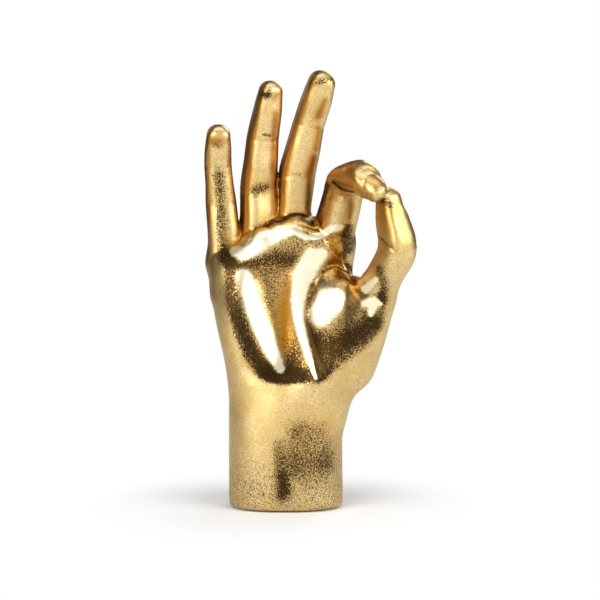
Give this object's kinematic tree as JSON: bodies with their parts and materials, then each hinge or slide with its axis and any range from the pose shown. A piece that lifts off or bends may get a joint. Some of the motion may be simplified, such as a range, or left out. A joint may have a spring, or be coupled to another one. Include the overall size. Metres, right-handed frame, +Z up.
{
  "type": "hand sculpture",
  "caption": "Life-size gilded right hand standing on its cut wrist, thumb and index finger joined in a ring, the other fingers raised.",
  "frame": {"origin": "middle of the felt pad's underside, where the sculpture rests", "axes": "+Z up along the wrist, -Y out of the palm towards the viewer, +X towards the thumb"},
  "size_m": [0.1249, 0.0815, 0.2655],
  "materials": {
    "gold_leaf": "imitation gold leaf over cast resin, burnished on the palm, satin and rubbed elsewhere",
    "steel_wire": "plain drawn wire",
    "plaster": "poured plaster, matt",
    "hardboard": "smooth brown hardboard",
    "felt": "dense black felt"
  },
  "bodies": {
    "root": {"hand_casting": "gold_leaf", "little_wire": "steel_wire", "ring_wire": "steel_wire", "middle_wire": "steel_wire", "index_wire": "steel_wire", "thumb_wire": "steel_wire", "ballast_block": "plaster", "base_plate": "hardboard", "felt_pad": "felt"}
  },
  "joints": []
}
